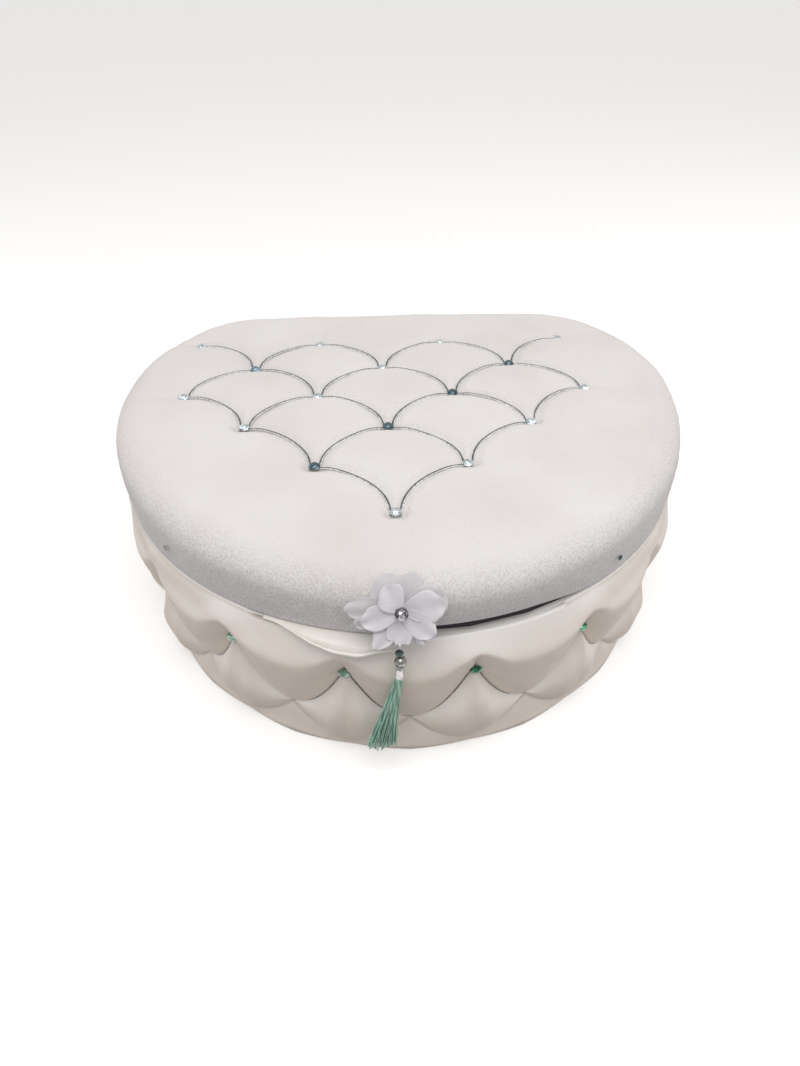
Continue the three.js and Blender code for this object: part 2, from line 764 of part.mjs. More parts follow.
addPart('lid_shell', cap(board, lidShellInset, lidWall, lidRim, lidBoardTop, lidWall), blackCard);
addPart('lid_lining', cap(
  board,
  lidLiningInset,
  liningThickness,
  lidRim,
  lidBoardTop - lidWall - clearance,
  liningThickness,
), satin);
addPart('satin_fold', satinFoldGeometry(), satin);
addPart('lid_padding', lidPaddingGeometry(), velvet);
addPart('lid_cords', lidCordsGeometry(), silverCord);
addLidStones();
addStud('lid_stud_left', leftStudAlong, leftStudHeight, silverBead);
addStud('lid_stud_right', rightStudAlong, rightStudHeight, greenCrystal);

addPart('flower_petals_outer', petalLayer(outerPetals), organza);
addPart('flower_petals_inner', petalLayer(innerPetals), organza);
const flowerBead = addPart('flower_bead', new THREE.IcosahedronGeometry(flowerBeadRadius, 1), silverBead);
const beadLift = innerPetals.base + petalThickness + clearance + flowerBeadRadius;
flowerBead.position.copy(flowerPoint(0, 0, 0, beadLift));
addTassel();

export default parts;
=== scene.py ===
# Velvet henna box: a D-shaped card box in tufted ivory velvet, with its quilted lid, organza flower and silk
# tassel. Blender 4.5. Sizes in the dictionaries are millimetres, and everything that is built is in metres.
import bisect
import math
import random

import bmesh
import bpy
from mathutils import Matrix, Vector, kdtree, noise


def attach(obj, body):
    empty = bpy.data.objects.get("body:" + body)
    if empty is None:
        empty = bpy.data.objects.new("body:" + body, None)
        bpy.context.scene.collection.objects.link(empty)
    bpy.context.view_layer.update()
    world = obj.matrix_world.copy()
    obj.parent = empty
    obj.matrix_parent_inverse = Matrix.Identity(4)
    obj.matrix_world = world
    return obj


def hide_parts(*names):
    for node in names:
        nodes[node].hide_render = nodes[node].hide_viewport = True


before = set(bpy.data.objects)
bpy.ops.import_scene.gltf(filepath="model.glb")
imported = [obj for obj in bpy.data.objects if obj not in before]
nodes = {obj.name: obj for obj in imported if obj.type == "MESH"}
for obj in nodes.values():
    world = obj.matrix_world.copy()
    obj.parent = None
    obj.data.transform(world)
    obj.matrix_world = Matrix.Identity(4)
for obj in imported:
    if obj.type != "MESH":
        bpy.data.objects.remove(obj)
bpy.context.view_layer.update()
mm = 0.001
goldenAngle = 2.39996  # in radians
random.seed(7)


cameraSettings = {
    "place": (-12.2, -515.4, 430.0),
    "yaw": 1.249,  # degrees to the right of the box's middle line
    "pitch": 36.981,  # degrees down
    "roll": 0.78,
    "lens": 27.05,
    "sensor": 36,
}


def addCamera():
    data = bpy.data.cameras.new("camera")
    data.lens = cameraSettings["lens"]
    data.sensor_width = cameraSettings["sensor"]
    camera = bpy.data.objects.new("camera", data)
    bpy.context.scene.collection.objects.link(camera)
    yaw, pitch, roll = (math.radians(cameraSettings[name]) for name in ("yaw", "pitch", "roll"))
    ahead = Vector((math.sin(yaw) * math.cos(pitch), math.cos(yaw) * math.cos(pitch), -math.sin(pitch)))
    level = Vector((math.cos(yaw), -math.sin(yaw), 0))
    above = level.cross(ahead)
    right = level * math.cos(roll) - above * math.sin(roll)
    up = above * math.cos(roll) + level * math.sin(roll)
    camera.matrix_world = Matrix.Translation(Vector(cameraSettings["place"]) * mm) @ Matrix(
        (right, up, -ahead)).transposed().to_4x4()
    bpy.context.scene.camera = camera


addCamera()
print("camera set")


def toLinear(code):
    channels = [int(code[place:place + 2], 16) / 255 for place in (1, 3, 5)]
    return [c / 12.92 if c <= 0.04045 else ((c + 0.055) / 1.055) ** 2.4 for c in channels] + [1]


def addNode(tree, kind, settings=None, values=None, links=None):
    node = tree.nodes.new(kind)
    for name, value in (settings or {}).items():
        setattr(node, name, value)
    for socket, value in (values or {}).items():
        node.inputs[socket].default_value = value
    for socket, source in (links or {}).items():
        tree.links.new(source, node.inputs[socket])
    return node


def startMaterial(name, values):
    material = bpy.data.materials.new(name)
    material.use_nodes = True
    tree = material.node_tree
    shader = tree.nodes["Principled BSDF"]
    for socket, value in values.items():
        shader.inputs[socket].default_value = value
    place = addNode(tree, "ShaderNodeTexCoord").outputs["Object"]
    return material, tree, shader, place


def perMetre(size):  # pattern scale for a feature of that size in mm
    return 1 / (size * mm)


def addNoise(tree, place, size, detail, roughness=0.5):
    return addNode(tree, "ShaderNodeTexNoise", {}, {
        "Scale": perMetre(size), "Detail": detail, "Roughness": roughness}, {"Vector": place}).outputs["Fac"]


# Threads that cross the object, as dark and light bands of that width in mm.
def addThreadBands(tree, place, way, size, distortion, detail):
    return addNode(tree, "ShaderNodeTexWave", {"bands_direction": way}, {
        "Scale": perMetre(size) / 20, "Distortion": distortion, "Detail": detail},
        {"Vector": place}).outputs["Fac"]


def addFacets(tree, place, size):  # one random value for each facet of that size in mm
    cells = addNode(tree, "ShaderNodeTexVoronoi", {}, {"Scale": perMetre(size)}, {"Vector": place})
    return addNode(tree, "ShaderNodeSeparateColor", {}, {}, {"Color": cells.outputs["Color"]}).outputs[0]


def addRange(tree, value, low, high, toLow=0.0, toHigh=1.0, kind="LINEAR"):
    return addNode(tree, "ShaderNodeMapRange", {"interpolation_type": kind}, {
        "From Min": low, "From Max": high, "To Min": toLow, "To Max": toHigh},
        {"Value": value}).outputs["Result"]


def addMath(tree, operation, values, links):
    return addNode(tree, "ShaderNodeMath", {"operation": operation}, values, links).outputs[0]


def mixTones(tree, dark, light, factor):
    return addNode(tree, "ShaderNodeMix", {"data_type": "RGBA"}, {6: toLinear(dark), 7: toLinear(light)},
                   {"Factor": factor}).outputs[2]


def colourFrom(tree, shader, colour):
    tree.links.new(colour, shader.inputs["Base Color"])


def reliefFrom(tree, shader, height, strength, depth):  # depth in mm
    bump = addNode(tree, "ShaderNodeBump", {}, {"Strength": strength, "Distance": depth * mm},
                   {"Height": height})
    tree.links.new(bump.outputs["Normal"], shader.inputs["Normal"])


# Cotton velvet, cut pile about 1 mm long. Gives the eye a soft bright top, a faint glitter where the pile is
# seen from the side, painted shade that multiplies steep and downward faces by the side tone, and a slow
# change of tone where it has been stroked. The pile itself is too fine to show, so its speckle is drawn at
# about 1.2 mm.
def velvetMaterial(name, light, dark, side, speckle):
    material, tree, shader, place = startMaterial(name, {
        "Roughness": 0.92, "Specular IOR Level": 0.18, "Sheen Weight": 0.35, "Sheen Roughness": 0.45,
        "Sheen Tint": toLinear("#fff8f4"),
    })
    pile = addNoise(tree, place, 1.2, 1, 0.7)
    stroked = addNoise(tree, place, 70, 2)
    facing = addNode(tree, "ShaderNodeSeparateXYZ", {}, {}, {
        "Vector": addNode(tree, "ShaderNodeNewGeometry").outputs["Normal"]}).outputs["Z"]
    steep = addRange(tree, facing, 0.97, 0.45, 0.12, 1.0)
    centred = addMath(tree, "SUBTRACT", {1: 0.5}, {0: pile})
    glitter = addMath(tree, "MULTIPLY", {}, {0: centred, 1: steep})
    tone = addMath(tree, "MULTIPLY_ADD", {1: speckle}, {0: glitter, 2: stroked})
    colour = mixTones(tree, dark, light, addRange(tree, tone, 0.08, 0.92))
    # painted shade: steep and downward faces are multiplied by the side tone, greyer on the lid and warmer on
    # the body
    paintedShadeMask = addRange(tree, facing, 0.75, -0.1, kind="SMOOTHSTEP")
    paintedShadeTone = addNode(tree, "ShaderNodeMix", {"data_type": "RGBA", "blend_type": "MULTIPLY"}, {7: toLinear(side)},
                  {"Factor": paintedShadeMask, 6: colour})
    colourFrom(tree, shader, paintedShadeTone.outputs[2])
    reliefFrom(tree, shader, pile, 0.35, 0.25)
    return material


# Polyester satin, warp-faced. Gives the eye long bright streaks over every roll, and fine threads at 0.8 mm.
def satinMaterial():
    material, tree, shader, place = startMaterial("polyester satin", {
        "Roughness": 0.3, "Specular IOR Level": 0.6, "Anisotropic": 0.35, "Sheen Weight": 0.15})
    threads = addThreadBands(tree, place, "X", 0.8, 1.5, 2)
    colourFrom(tree, shader, mixTones(tree, "#e2ddd5", "#f6f3ed", addNoise(tree, place, 14, 2)))
    reliefFrom(tree, shader, threads, 0.12, 0.1)
    return material


# Black grey-board with a matt face. Gives the eye a dark line with slightly rough fibres.
def cardMaterial():
    material, tree, shader, place = startMaterial("black board", {
        "Roughness": 0.72, "Specular IOR Level": 0.35})
    fibres = addNoise(tree, place, 2.5, 5, 0.65)
    colourFrom(tree, shader, mixTones(tree, "#141217", "#2c2a30", fibres))
    reliefFrom(tree, shader, fibres, 0.3, 0.15)
    return material


# Metallised twist, two strands of silver foil thread. Gives the eye short white glints broken by grey.
def cordMaterial(name, light, dark, metal):
    material, tree, shader, place = startMaterial(name, {"Metallic": metal, "Roughness": 0.32})
    wraps = addNoise(tree, place, 1.6, 3, 0.6)
    colourFrom(tree, shader, mixTones(tree, dark, light, addRange(tree, wraps, 0.36, 0.6)))
    reliefFrom(tree, shader, wraps, 0.5, 0.2)
    return material


# Foil-backed glass stone of one tint. Its hard bright and dark facets are painted reflection: random cells of
# the base colour are lighter or darker.
def stoneMaterial(name, light, dark):
    material, tree, shader, place = startMaterial(name, {
        "Metallic": 0.55, "Roughness": 0.06, "IOR": 1.55, "Coat Weight": 1.0, "Coat Roughness": 0.03})
    # painted reflection: light and dark cells of one tint
    colourFrom(tree, shader, mixTones(tree, dark, light, addFacets(tree, place, 2.6)))
    return material


# Silver-plated acrylic. Gives the eye a mirror broken into light and dark facets, which are painted
# reflection: random cells of its base colour are lighter or darker.
def platedMaterial(name, light, dark, roughness):
    material, tree, shader, place = startMaterial(name, {"Metallic": 1.0, "Roughness": roughness})
    # painted reflection: light and dark cells in the metal's colour
    colourFrom(tree, shader, mixTones(tree, dark, light, addFacets(tree, place, 1.9)))
    return material


# Organza, a sheer plain weave of stiff nylon. Gives the eye a milky veil that is whiter where it doubles. Its
# threads, 0.2 mm apart, are drawn at 0.5 mm.
def organzaMaterial(name, light, dark, alpha):
    material, tree, shader, place = startMaterial(name, {
        "Roughness": 0.5, "Specular IOR Level": 0.3, "Sheen Weight": 0.3, "Alpha": alpha})
    across, along = (addThreadBands(tree, place, way, 0.5, 0.6, 2) for way in ("X", "Z"))
    colourFrom(tree, shader, mixTones(tree, dark, light, addNoise(tree, place, 9, 3)))
    reliefFrom(tree, shader, addMath(tree, "MULTIPLY", {}, {0: across, 1: along}), 0.25, 0.1)
    return material


# Viscose silk floss. Gives the eye bright threads beside dark gaps, with a gloss along each thread. Its tone
# changes from thread to thread, and its dark streaks are also painted shade of the gaps between threads.
def silkMaterial(name, light, dark):
    material, tree, shader, place = startMaterial(name, {
        "Roughness": 0.38, "Specular IOR Level": 0.6, "Sheen Weight": 0.25, "Anisotropic": 0.4})
    stretched = addNode(tree, "ShaderNodeMapping", {}, {"Scale": (1.0, 1.0, 0.06)}, {"Vector": place})
    threads = addNoise(tree, stretched.outputs["Vector"], 1.5, 2)
    # tone varying from thread to thread, with dark streaks that are also painted shade of the gaps
    colourFrom(tree, shader, mixTones(tree, dark, light, addRange(tree, threads, 0.38, 0.62)))
    return material


# the third tone of each velvet is its painted shade on steep and downward faces
lidVelvet = velvetMaterial("ivory velvet of the lid", "#e7e4e2", "#d5d0ce", "#f3f4f8", 5.5)
# the body's velvet is a lighter copy of the lid's ivory velvet: painted light that brightens its rolls
bodyVelvet = velvetMaterial("ivory velvet of the body", "#faf7f5", "#f4f0ed", "#f1e8df", 0.6)
satin = satinMaterial()
blackBoard = cardMaterial()
silverTwist = cordMaterial("silver twist", "#fbfcfd", "#b9babd", 0.35)
# a darker copy of the silver twist: painted shade for the back strand of the lid's cord and for the cord in
# the body's folds
shadedTwist = cordMaterial("silver twist darkened as painted shade", "#8d8f90", "#46484b", 0.7)
clearStone = stoneMaterial("clear foiled glass", "#eef4f6", "#9fb0b8")
aquaStone = stoneMaterial("aqua foiled glass", "#a9c6d2", "#55717f")
tealStone = stoneMaterial("teal foiled glass", "#56747f", "#26414c")
mintStone = stoneMaterial("mint foiled glass", "#a9cfc0", "#5f8f7d")
greenStone = stoneMaterial("green foiled glass", "#3fa57c", "#0f5a42")
deepStone = stoneMaterial("deep teal foiled glass", "#17524a", "#041a17")
platedBead = platedMaterial("silver-plated bead", "#c4c1c8", "#242228", 0.14)
platedCap = platedMaterial("silver-plated cap", "#b4b2af", "#5c5a57", 0.3)
platedCollar = platedMaterial("silver-plated collar", "#f1f0ee", "#b5b3b0", 0.35)
frontOrganza = organzaMaterial("organza", "#f2f0f4", "#dddae2", 0.84)
backOrganza = organzaMaterial("organza of the back petals", "#f0eef0", "#dad8dd", 0.55)
mintSilk = silkMaterial("mint silk", "#a9d3c0", "#5c8f79")
print("materials ready")


plan = {"halfWidth": 211, "frontDepth": 234, "cornerWidth": 90, "cornerDepth": 135}
heights = {"seat": 105.7, "rim": 8, "lidWall": 28, "lidCrown": 25, "clearance": 0.3}

widestY = (plan["frontDepth"] - plan["cornerDepth"]) / 2
frontY = widestY - plan["frontDepth"]
cornerX = plan["halfWidth"] - plan["cornerWidth"]
backY = widestY + plan["cornerDepth"]
lidRim = heights["seat"] + heights["clearance"]
lidBoardTop = lidRim + heights["lidWall"]
lidTop = lidBoardTop + heights["clearance"] + heights["lidCrown"]


# The plan outline of the lid as a track of points by distance from the middle of the front.
def trackOutline():
    def arc(middleX, radiusX, radiusY, start, end):
        for step in range(600):
            turn = start + (end - start) * step / 600
            yield middleX + radiusX * math.cos(turn), widestY + radiusY * math.sin(turn)

    width, depth = plan["halfWidth"], plan["frontDepth"]
    corner, back = plan["cornerWidth"], plan["cornerDepth"]
    places = list(arc(0, width, depth, -math.pi / 2, 0))
    places += arc(cornerX, corner, back, 0, math.pi / 2)
    places += [(cornerX - 2 * cornerX * step / 200, backY) for step in range(200)]
    places += arc(-cornerX, corner, back, math.pi / 2, math.pi)
    places += arc(0, width, depth, math.pi, math.pi * 1.5)
    places.append(places[0])
    gone = [0.0]
    for before, after in zip(places, places[1:]):
        gone.append(gone[-1] + math.dist(before, after))
    return gone, places


trackGone, trackPlaces = trackOutline()
outlineLength = trackGone[-1]
backCorner = outlineLength / 2 - cornerX


# A point by its distance along the outline, its inset from it and its height, in mm.
def beside(along, inset, height):
    along %= outlineLength
    step = min(max(bisect.bisect_right(trackGone, along) - 1, 0), len(trackGone) - 2)
    (x0, y0), (x1, y1) = trackPlaces[step], trackPlaces[step + 1]
    length = trackGone[step + 1] - trackGone[step]
    share = (along - trackGone[step]) / length
    outX, outY = (y1 - y0) / length, -(x1 - x0) / length
    return Vector((x0 + (x1 - x0) * share - outX * inset, y0 + (y1 - y0) * share - outY * inset, height))


def outward(along):
    return (beside(along, -1, 0) - beside(along, 0, 0)).normalized()


def signedAlong(along):
    return (along + outlineLength / 2) % outlineLength - outlineLength / 2


def smoothstep(value, low, high):
    share = min(max((value - low) / (high - low), 0), 1)
    return share * share * (3 - 2 * share)


def mix(low, high, share):
    return low + (high - low) * share


# 0 up to the start, 1 from full to fade, and 0 again after the end.
def plateau(value, start, full, fade, end):
    return smoothstep(value, start, full) * (1 - smoothstep(value, fade, end))


# Perlin noise of about -0.5 to 0.5 at a point in mm, with features of that size.
def ripple(point, size, seed=0):
    return noise.noise(Vector(point) / size + Vector((seed * 17.3, seed * 5.1, seed * 9.7)))


def loopEdges(bm, ring):
    return [bm.edges.get((vert, ring[place - 1])) for place, vert in enumerate(ring)]


# A skin that grows from one circle: every further ring is extruded from the last one and moved to its place.
# Its two ends are filled, left open, or bridged to each other. Places are in mm.
def ringSkin(rings, ends="filled"):
    bm = bmesh.new()
    first = bmesh.ops.create_circle(bm, segments=len(rings[0]), radius=1)["verts"]
    for vert, point in zip(first, rings[0]):
        vert.co = point * mm
    ring = list(first)
    for points in rings[1:]:
        grown = bmesh.ops.extrude_edge_only(bm, edges=loopEdges(bm, ring))["geom"]
        fresh = {item for item in grown if isinstance(item, bmesh.types.BMVert)}
        nextRing = []
        for vert, point in zip(ring, points):
            above = next(edge.other_vert(vert) for edge in vert.link_edges if edge.other_vert(vert) in fresh)
            above.co = point * mm
            nextRing.append(above)
        ring = nextRing
    if ends == "filled":
        for loop in (first, ring):
            cap = bmesh.ops.edgeloop_fill(bm, edges=loopEdges(bm, loop))["faces"]
            bmesh.ops.poke(bm, faces=cap)
    elif ends == "bridged":
        bmesh.ops.bridge_loops(bm, edges=loopEdges(bm, first) + loopEdges(bm, ring))
    bmesh.ops.recalc_face_normals(bm, faces=bm.faces)
    return bm


def addPiece(name, bm, material, stands, smooth=True):
    mesh = bpy.data.meshes.new(name)
    for face in bm.faces:
        face.smooth = smooth
    bm.to_mesh(mesh)
    bm.free()
    piece = bpy.data.objects.new(name, mesh)
    bpy.context.scene.collection.objects.link(piece)
    mesh.materials.append(material)
    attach(piece, "root")
    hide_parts(*stands)
    return piece


# Threads and cords along paths of points in mm, as one curve piece.
def addThreads(name, paths, radius, material, stands):
    data = bpy.data.curves.new(name, "CURVE")
    data.dimensions = "3D"
    data.bevel_depth = radius * mm
    data.bevel_resolution = 1
    data.use_fill_caps = True
    for path in paths:
        spline = data.splines.new("POLY")
        spline.points.add(len(path) - 1)
        for point, target in zip(path, spline.points):
            target.co = (*(point * mm), 1)
            target.radius = 1
        spline.use_smooth = True
    data.materials.append(material)
    piece = bpy.data.objects.new(name, data)
    bpy.context.scene.collection.objects.link(piece)
    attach(piece, "root")
    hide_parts(*stands)
    return piece


def blendPath(points, spacing):  # the same path with even steps of about that length
    gone = [0.0]
    for before, after in zip(points, points[1:]):
        gone.append(gone[-1] + (after - before).length)
    steps = max(2, round(gone[-1] / spacing))
    path = []
    for step in range(steps + 1):
        at = gone[-1] * step / steps
        place = min(max(bisect.bisect_right(gone, at) - 1, 0), len(points) - 2)
        share = (at - gone[place]) / max(gone[place + 1] - gone[place], 1e-9)
        path.append(points[place].lerp(points[place + 1], share))
    return path


lid = {
    "columns": 600, "sideRings": 12, "shoulderRings": 16, "domeRings": 100,
    "edgeRound": 22, "shoulderDrop": 20, "fallAcross": 0.8, "fallFront": 4, "fallBack": 0.8, "crownY": 15,
    "sidePad": 4, "padGap": 0.8, "hemTuck": 2.8, "hemTurn": 0.6, "hemRoll": 0.4,
    "hemLift": 5.2, "hemSpan": (-6, 10, 75, 135),  # the hem has ridden up at the right of the front
    "swell": 0.9, "swellSize": 38, "wrinkle": 0.25, "topWrinkle": 0.2, "wrinkleSize": 9,
    "scaleWidth": 100, "scaleRow": 47, "rows": (1, 2, 3, 4, 3, 4),
    "shift": -6, "backShift": -7, "rowBow": 3.5,
    "front": 63, "bulge": 0.8, "arcStart": 3.2, "arcEnd": 1.5, "arcLead": 0.5, "arcSteps": 48,
    "grooveDepth": 2.2, "grooveReach": 8, "grooveFlat": 1.8, "puff": 1.4, "puffReach": 26,
    "dimple": 2.0, "dimpleReach": 8,
}


def domeHeight(x, y):
    fall = lid["fallFront"] if y < lid["crownY"] else lid["fallBack"]
    return lidTop - lid["fallAcross"] * (x / 100) ** 2 - fall * ((y - lid["crownY"]) / 100) ** 2


def scallop(share):
    away = min(abs(share), 1)
    return lid["bulge"] * math.sqrt(1 - away * away) + (1 - lid["bulge"]) * (1 - away)


# A fold that hangs between two buttons: 1 at its lowest, 0 at its ends.
def sag(share):
    return 1 - min(abs(share), 1) ** 2


def quiltNodes():
    rows = []
    for row, count in enumerate(lid["rows"]):
        away = [place - (count - 1) / 2 for place in range(count)]
        middle = lid["shift"] + lid["backShift"] * row / (len(lid["rows"]) - 1)
        rows.append([(middle + scales * lid["scaleWidth"],
                      frontY + lid["front"] + row * lid["scaleRow"] + lid["rowBow"] * scales * scales)
                     for scales in away])
    return rows


# Each arc leaves a stone steeply, beside it, and reaches the next row level.
def quiltArcs():
    arcs = []
    rows = quiltNodes()
    for front, back in zip(rows, rows[1:]):
        for x0, y0 in front:
            for x1, y1 in back:
                if abs(x1 - x0) >= lid["scaleWidth"]:
                    continue
                side = math.copysign(1, x1 - x0)
                startX, endX = x0 + side * lid["arcStart"], x1 - side * lid["arcEnd"]
                path = []
                for step in range(lid["arcSteps"] + 1):
                    across = 1 - math.cos(step / lid["arcSteps"] * math.pi / 2)
                    path.append((mix(startX, endX, across),
                                 mix(y0 - lid["arcLead"], y1, scallop(1 - across))))
                arcs.append(path)
    return arcs


arcs = quiltArcs()
stonePlaces = [place for row in quiltNodes() for place in row]


def treeOf(points):
    tree = kdtree.KDTree(len(points))
    for number, (x, y) in enumerate(points):
        tree.insert((x, y, 0), number)
    tree.balance()
    return tree


seamTree = treeOf([(mix(x0, x1, part / 4), mix(y0, y1, part / 4)) for path in arcs
                   for (x0, y0), (x1, y1) in zip(path, path[1:]) for part in range(4)])
stoneTree = treeOf(stonePlaces)


# Soft pleats that run from the outermost stones to the lid's edge: start, direction, length and depth.
def edgePleats():
    rows = quiltNodes()
    pleats = [(x, y, lean, 1, 42, 1.5) for (x, y), lean in zip(rows[5], (-0.7, 0.05, -0.1, -0.75))]
    for row, slope in ((3, -0.12), (5, 0.1)):
        pleats += [(*rows[row][0], -1, slope, 44, 2.2), (*rows[row][-1], 1, slope, 44, 2.2)]
    pleats += [(*rows[2][-1], 1, 0.1, 24, 1.0), (*rows[2][0], -1, 0.1, 20, 0.7)]
    return pleats


pleats = edgePleats()


def pleatDrop(x, y):
    total = 0.0
    for startX, startY, wayX, wayY, length, depth in pleats:
        size = math.hypot(wayX, wayY)
        ahead = ((x - startX) * wayX + (y - startY) * wayY) / size
        if 0 < ahead < length:
            aside = ((x - startX) * wayY - (y - startY) * wayX) / size
            width = mix(2.5, 7, ahead / length)
            total += depth * math.exp(-(aside / width) ** 2) * (1 - ahead / length) * min(ahead / 4, 1)
    return total


# How far the velvet of the lid lies under its smooth dome: deep in the seams, full between them.
def quiltDrop(x, y):
    _, _, away = seamTree.find((x, y, 0))
    _, _, toStone = stoneTree.find((x, y, 0))
    groove = lid["grooveDepth"] * (1 - smoothstep(away, lid["grooveFlat"], lid["grooveReach"])) ** 1.4
    broad = lid["puff"] * math.exp(-away / lid["puffReach"])
    dimple = lid["dimple"] * math.exp(-(toStone / lid["dimpleReach"]) ** 2)
    return groove + broad + dimple + pleatDrop(x, y)


def hemHeight(along):
    return lidRim + lid["hemLift"] * plateau(signedAlong(along), *lid["hemSpan"])


# The padding's own unevenness: broad swells, and over them small wrinkles of a depth.
def lidSoftness(point, wrinkle=0.0):
    return ripple(point, lid["swellSize"]) * lid["swell"] + ripple(point, lid["wrinkleSize"], 3) * wrinkle


def lidPad():
    columns = [outlineLength * step / lid["columns"] for step in range(lid["columns"])]
    edges = [beside(along, lid["edgeRound"], 0) for along in columns]
    hems = [hemHeight(along) for along in columns]
    crown = Vector((0, lid["crownY"], 0))
    rings = []
    inner = lid["sidePad"] - lid["padGap"]
    under = lidBoardTop + heights["clearance"]
    for share in (0.1, 0.4, 0.75):
        rings.append([crown.lerp(edge, share) + Vector((0, 0, under)) for edge in edges])
    rings.append([beside(along, inner, under) for along in columns])
    rings.append([beside(along, inner, hem + 1) for along, hem in zip(columns, hems)])
    for turn in (0.0, 0.5, 1.0):  # the rolled hem
        inset = mix(inner, lid["hemTuck"] - lid["hemTurn"], turn)
        lift = lid["hemRoll"] * (turn - 0.5) ** 2 * 4
        rings.append([beside(along, inset, hem + lift) for along, hem in zip(columns, hems)])
    for step in range(1, lid["sideRings"]):
        share = step / lid["sideRings"]
        ring = []
        for along, edge, hem in zip(columns, edges, hems):
            shoulder = domeHeight(edge.x, edge.y) - lid["shoulderDrop"]
            tuck = lid["hemTuck"] * (1 - share) ** 2.2
            point = beside(along, tuck, mix(hem + lid["hemRoll"], shoulder, share))
            ring.append(point + outward(along) * lidSoftness(point, lid["wrinkle"]))
        rings.append(ring)
    for step in range(lid["shoulderRings"]):
        turn = math.pi / 2 * (1 - step / lid["shoulderRings"])
        ring = []
        for along, edge in zip(columns, edges):
            inset = lid["edgeRound"] * (1 - math.sin(turn))
            height = domeHeight(edge.x, edge.y) - lid["shoulderDrop"] * (1 - math.cos(turn))
            point = beside(along, inset, height)
            lean = outward(along) * math.sin(turn) + Vector((0, 0, math.cos(turn)))
            drop = quiltDrop(point.x, point.y) * math.cos(turn)
            ring.append(point + lean * lidSoftness(point, lid["wrinkle"]) - Vector((0, 0, drop)))
        rings.append(ring)
    for step in range(lid["domeRings"]):
        share = 1 - step / lid["domeRings"]
        ring = []
        for edge in edges:
            point = crown.lerp(edge, share)
            height = domeHeight(point.x, point.y) - quiltDrop(point.x, point.y)
            point.z = height + lidSoftness(point, lid["topWrinkle"])
            ring.append(point)
        rings.append(ring)
    piece = addPiece("lidPad", ringSkin(rings), lidVelvet, stands=["lid_padding"])


lidPad()
print("lid pad done")

cordSettings = {"strand": 0.46, "apart": 0.56, "seat": 0.5, "spacing": 1.2}


def velvetTop(x, y):
    height = domeHeight(x, y) - quiltDrop(x, y)
    return height + lidSoftness((x, y, height))


# The cord is two strands laid side by side. The one at the back lies in the shade of its fold, which is
# painted into its darker finish.
def lidCords():
    strands = {"Front": [], "Back": []}
    for path in arcs:
        middle = blendPath([Vector((x, y, 0)) for x, y in path], cordSettings["spacing"])
        sides = {"Front": [], "Back": []}
        for place, point in enumerate(middle):
            ahead = middle[min(place + 1, len(middle) - 1)] - middle[max(place - 1, 0)]
            side = Vector((-ahead.y, ahead.x, 0)).normalized()
            side *= math.copysign(cordSettings["apart"], side.y)
            for name, spot in (("Front", point - side), ("Back", point + side)):
                spot.z = velvetTop(point.x, point.y) + cordSettings["seat"]
                sides[name].append(spot)
        for name in strands:
            strands[name].append(sides[name])
    # the back strand takes the darker copy: painted shade of its fold
    for name, finish in (("Front", silverTwist), ("Back", shadedTwist)):
        addThreads(f"lidCord{name}", strands[name], cordSettings["strand"], finish, ["lid_cords"])


lidCords()

# The stones of the lid, front to back: finish, and how far each has sunk into its dimple
stoneLooks = [
    (clearStone, 0.0),
    (tealStone, 0.3), (clearStone, 0.4),
    (clearStone, 0.0), (tealStone, 0.2), (clearStone, 1.0),
    (clearStone, 1.6), (clearStone, 2.4), (tealStone, 0.6), (clearStone, 2.2),
    (aquaStone, 1.2), (clearStone, 2.0), (tealStone, 1.2),
    (clearStone, 2.6), (clearStone, 2.6), (clearStone, 2.2), (clearStone, 2.8),
]
stoneShape = {"radius": 4, "height": 2.8, "facets": 8, "lift": 1.6, "sinkShare": 0.5, "lean": (0, -0.08, 1)}
# outline of a faceted stone: share of its radius, share of its height, turn in facets
stoneProfile = [(0.75, 0.0, 0), (1.0, 0.34, 0), (0.84, 0.68, 0.5), (0.52, 1.0, 0)]


# A faceted stone with its back at a place and its table along a direction.
def stoneMesh(place, direction, radius, height, facets, stretch=1.0):
    turn = direction.to_track_quat("Z", "Y")
    rings = []
    for reach, rise, offset in stoneProfile:
        ring = []
        for corner in range(facets):
            angle = (corner + offset) / facets * math.tau
            wide = radius * reach
            spot = Vector((math.cos(angle) * wide * stretch, math.sin(angle) * wide, height * rise))
            ring.append(place + turn @ spot)
        rings.append(ring)
    return ringSkin(rings)


def lidStones():
    for number, ((x, y), (finish, sunk)) in enumerate(zip(stonePlaces, stoneLooks), 1):
        slope = Vector(stoneShape["lean"]).normalized()
        place = Vector((x, y, velvetTop(x, y) + stoneShape["lift"] - sunk * stoneShape["sinkShare"]))
        bm = stoneMesh(place, slope, stoneShape["radius"], stoneShape["height"], stoneShape["facets"])
        addPiece(f"lidStone{number:02d}", bm, finish, smooth=False, stands=[f"lid_stone_{number:02d}"])


lidStones()
print("lid cords and stones done")


tufts = {
    "count": 16, "topDrop": 32.7, "row": 43, "lowDrop": 24,
    "columns": 24, "upperRows": 34, "middleRows": 26, "footRows": 8,  # columns in half a tuft
    "bulge": 8, "buttonBulge": 5.5, "buttonReach": 17,  # of the upper roll, and how far a button pinches it
    "fullest": 77, "buttonFullest": 90,  # height of the roll's widest line between the buttons and at them
    "crease": 7.0, "buttonCrease": 5.0, "backCrease": 2, "cellBulge": 10, "fullCell": 45, "cellRound": 0.12,
    "foot": 3.5, "cellFoot": 5.5, "footInset": 7, "footTuck": 1.5, "sideNarrow": 6.5,
    "bottom": 0.8, "innerWall": 15.6,
    "seatRound": 2, "seatInset": 2,  # where the roll meets the seat
}
# where the seat is pressed down: depth, then its start, full part and end along the front. The slipped satin
# lies on it at the left, and the lid's card shows over it at the right.
dents = [(1.3, -108, -98, -12, -2), (4.5, -6, 12, 60, 125)]
